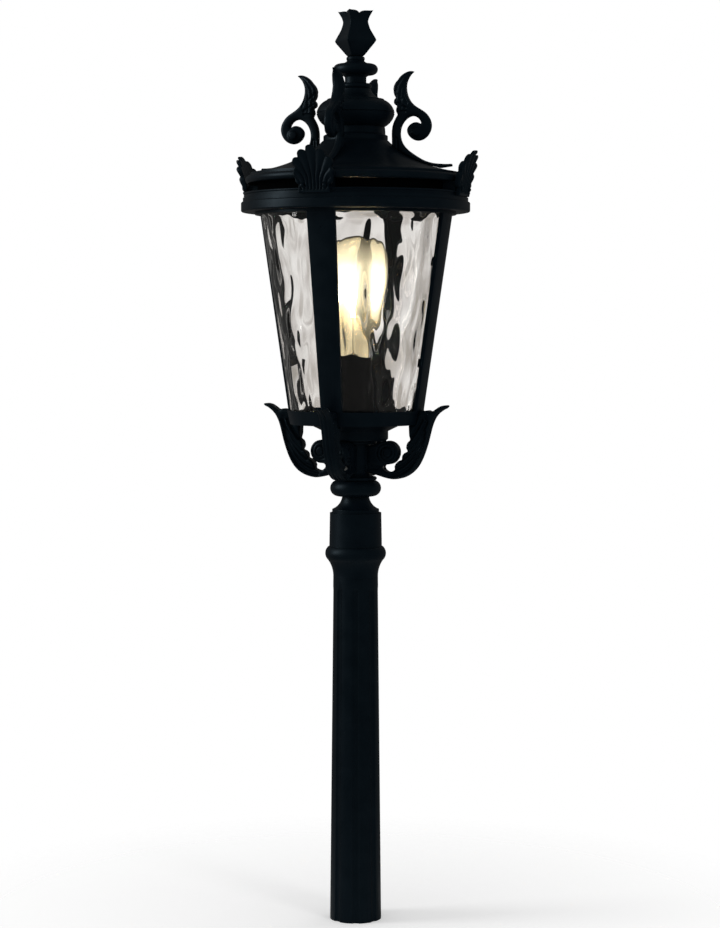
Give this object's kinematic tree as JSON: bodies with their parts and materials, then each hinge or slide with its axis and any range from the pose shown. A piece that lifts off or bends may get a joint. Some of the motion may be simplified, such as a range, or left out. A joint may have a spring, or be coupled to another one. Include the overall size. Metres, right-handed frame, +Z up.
{
  "type": "outdoor post light",
  "caption": "Traditional glazed post lantern with leaf brackets, roof scrolls and a bud finial, on the fluted top length of its post, which slips over a ground stub.",
  "frame": {"origin": "centre of the open lower end of the post, on the axis of its bore", "axes": "+Z up the post to the finial; the corner ornaments of every tier stand on +X, +Y, -X and -Y"},
  "size_m": [0.2934, 0.2934, 1.0478],
  "materials": {
    "black_coat": "satin powder coat with a faint grain over die-cast aluminium",
    "rippled_glass": "clear glass with deep water ripples",
    "zinc_steel": "zinc-plated steel, satin",
    "gasket_rubber": "matte",
    "black_plastic": "satin moulded plastic",
    "white_ceramic": "glazed",
    "nickel_shell": "nickel-plated sheet",
    "contact_brass": "satin",
    "lead_insulation": "silicone insulation",
    "lamp_glass": "clear, thin",
    "nickel_cap": "rolled thread",
    "lamp_insulator": "black insulating end with a contact tip",
    "mount_glass": "clear rod",
    "filament": "glowing phosphor-coated rods"
  },
  "bodies": {
    "post": {"post_shaft": "black_coat", "post_capital": "black_coat"},
    "roof": {"roof": "black_coat", "scroll_right": "black_coat", "scroll_back": "black_coat", "scroll_left": "black_coat", "scroll_front": "black_coat", "scroll_screws": "zinc_steel", "crown_base": "black_coat", "crown_urn": "black_coat", "crown_neck": "black_coat"},
    "finial": {"finial": "black_coat"},
    "bulb": {"bulb_cap": "nickel_cap", "bulb_contact": "lamp_insulator", "bulb_filaments": "filament", "bulb_glass": "lamp_glass", "bulb_mount": "mount_glass"},
    "lantern": {"base_cup": "black_coat", "bridge_bar": "zinc_steel", "bridge_screws": "zinc_steel", "clip_screws": "zinc_steel", "collar_screws": "black_coat", "corner_screws": "zinc_steel", "fitter_collar": "black_coat", "glass_clips": "zinc_steel", "holder_body": "white_ceramic", "holder_contact": "contact_brass", "holder_cover": "black_plastic", "holder_gasket": "gasket_rubber", "holder_shell": "nickel_shell", "lead_wires": "lead_insulation", "leaf_back": "black_coat", "leaf_front": "black_coat", "leaf_left": "black_coat", "leaf_right": "black_coat", "leaf_screws": "black_coat", "leg_back": "black_coat", "leg_front": "black_coat", "leg_left": "black_coat", "leg_right": "black_coat", "leg_screws": "zinc_steel", "lower_ring": "black_coat", "pane_back_left": "rippled_glass", "pane_back_right": "rippled_glass", "pane_front_left": "rippled_glass", "pane_front_right": "rippled_glass", "rod_nuts": "zinc_steel", "stem_column": "black_coat", "stem_foot": "black_coat", "stem_knop": "black_coat", "stem_nuts": "zinc_steel", "stem_tube": "zinc_steel", "strut_back": "black_coat", "strut_front": "black_coat", "strut_left": "black_coat", "strut_right": "black_coat", "strut_screws": "zinc_steel", "tie_rod": "zinc_steel", "upper_ring": "black_coat"}
  },
  "joints": [
    {"name": "lantern_swivel", "type": "hinge", "parent": "post", "child": "lantern", "pos_m": [0, 0, 0.4295], "axis": [0, 0, 1], "range_deg": [-180, 180]},
    {"name": "roof_lift", "type": "slide", "parent": "lantern", "child": "roof", "axis": [0, 0, 1], "range_m": [0, 0.17]},
    {"name": "finial_turn", "type": "hinge", "parent": "roof", "child": "finial", "pos_m": [0, 0, 0.995], "axis": [0, 0, 1], "continuous": true},
    {"name": "bulb_lift", "type": "slide", "parent": "lantern", "child": "bulb", "axis": [0, 0, 1], "range_m": [0, 0.0235]}
  ]
}
